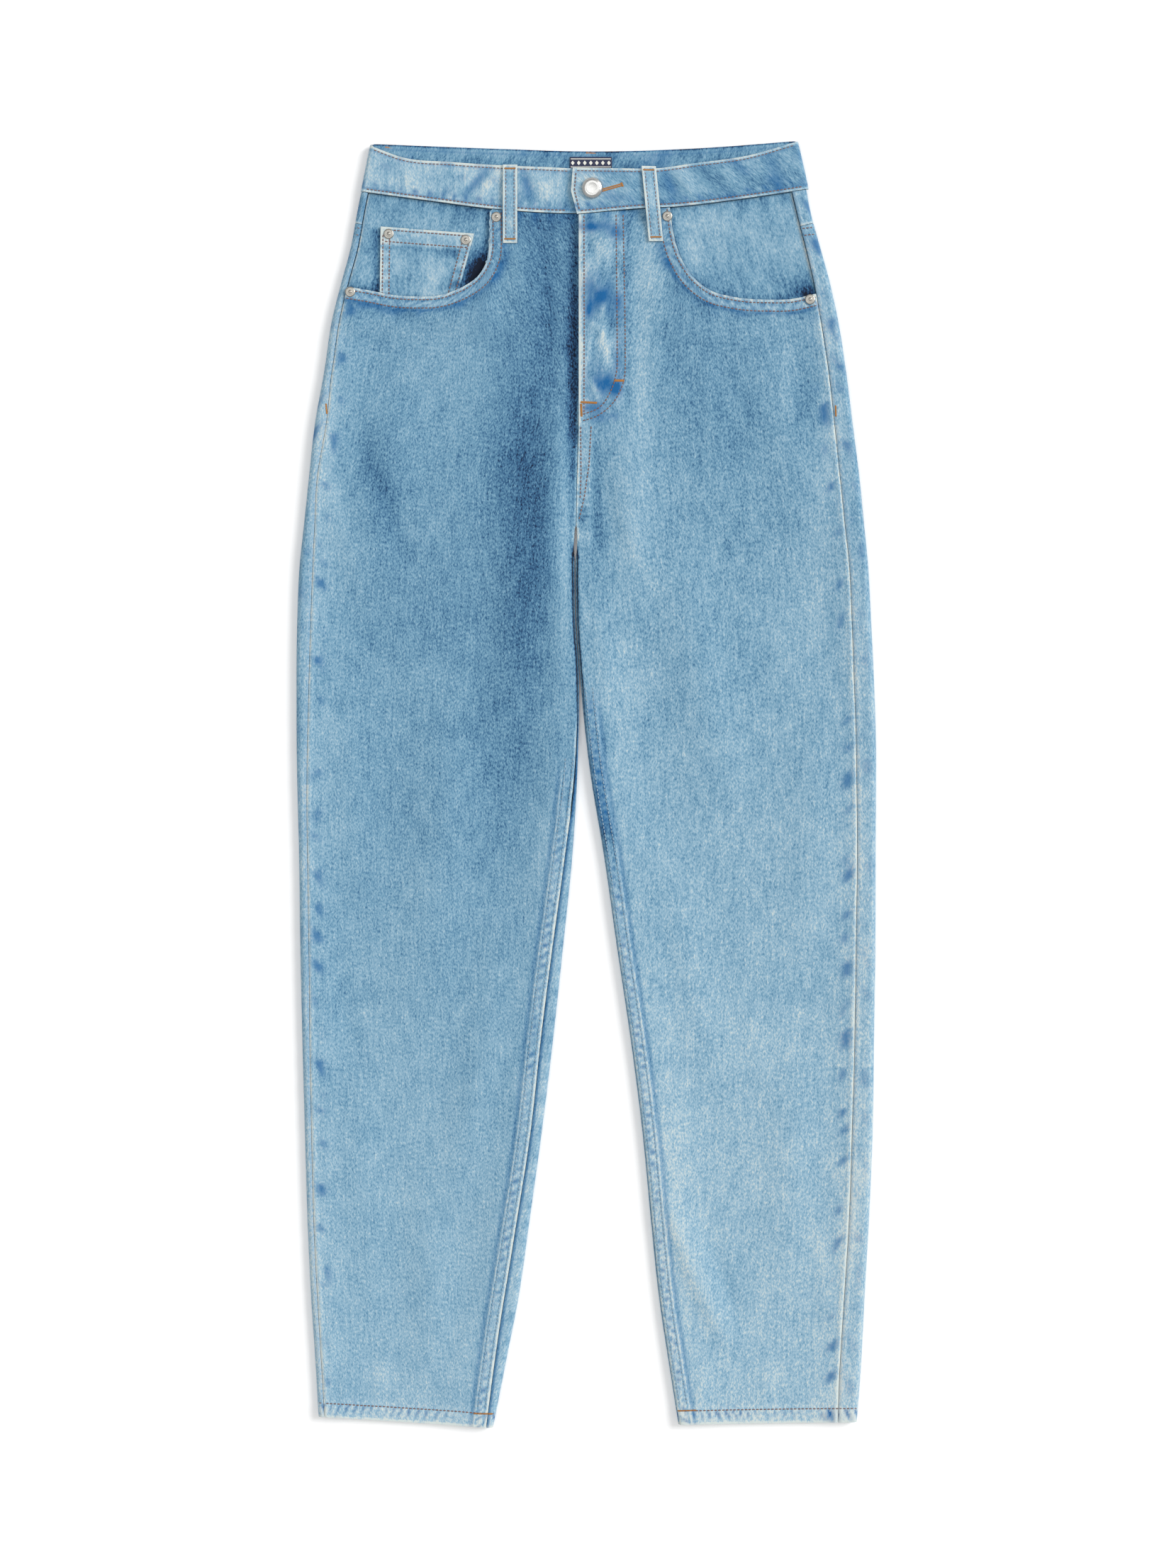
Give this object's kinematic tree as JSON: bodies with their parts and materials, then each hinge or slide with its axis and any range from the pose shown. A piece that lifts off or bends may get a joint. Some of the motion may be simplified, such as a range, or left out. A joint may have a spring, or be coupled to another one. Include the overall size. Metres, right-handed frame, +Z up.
{
  "type": "pair of high-waisted mom jeans, laid flat",
  "caption": "Straight-leg high-waisted denim trousers laid flat, front up, with button fly, scoop pockets, coin pocket and belt loops.",
  "frame": {"origin": "on the floor, under the middle of the laid-out garment's bounding box", "axes": "+Y towards the waist, along the legs; +Z up, out of the front; +X towards the wearer's left leg"},
  "size_m": [0.4737, 1.0524, 0.0155],
  "materials": {
    "denim": "light-wash cotton twill, faded along the seams",
    "denim_facing": "light-wash cotton twill, less faded",
    "denim_band": "light-wash cotton twill, doubled and worn at the edges",
    "woven_label": "smooth woven label",
    "button_metal": "satin silver",
    "rivet_metal": "aged silver"
  },
  "bodies": {
    "root": {"front_right": "denim", "front_left": "denim", "back_right": "denim", "back_left": "denim", "yoke_right": "denim", "yoke_left": "denim", "back_pocket_right": "denim", "back_pocket_left": "denim", "pocket_facing_right": "denim_facing", "pocket_facing_left": "denim_facing", "coin_pocket": "denim_facing", "waistband": "denim_band", "belt_loop_front_right": "denim_band", "belt_loop_front_left": "denim_band", "belt_loop_back_right": "denim_band", "belt_loop_back_left": "denim_band", "belt_loop_centre_back": "denim_band", "woven_label": "woven_label", "button": "button_metal", "rivet_pocket_right_waist": "rivet_metal", "rivet_pocket_right_side": "rivet_metal", "rivet_coin_outer": "rivet_metal", "rivet_coin_inner": "rivet_metal", "rivet_pocket_left_waist": "rivet_metal", "rivet_pocket_left_side": "rivet_metal"}
  },
  "joints": []
}
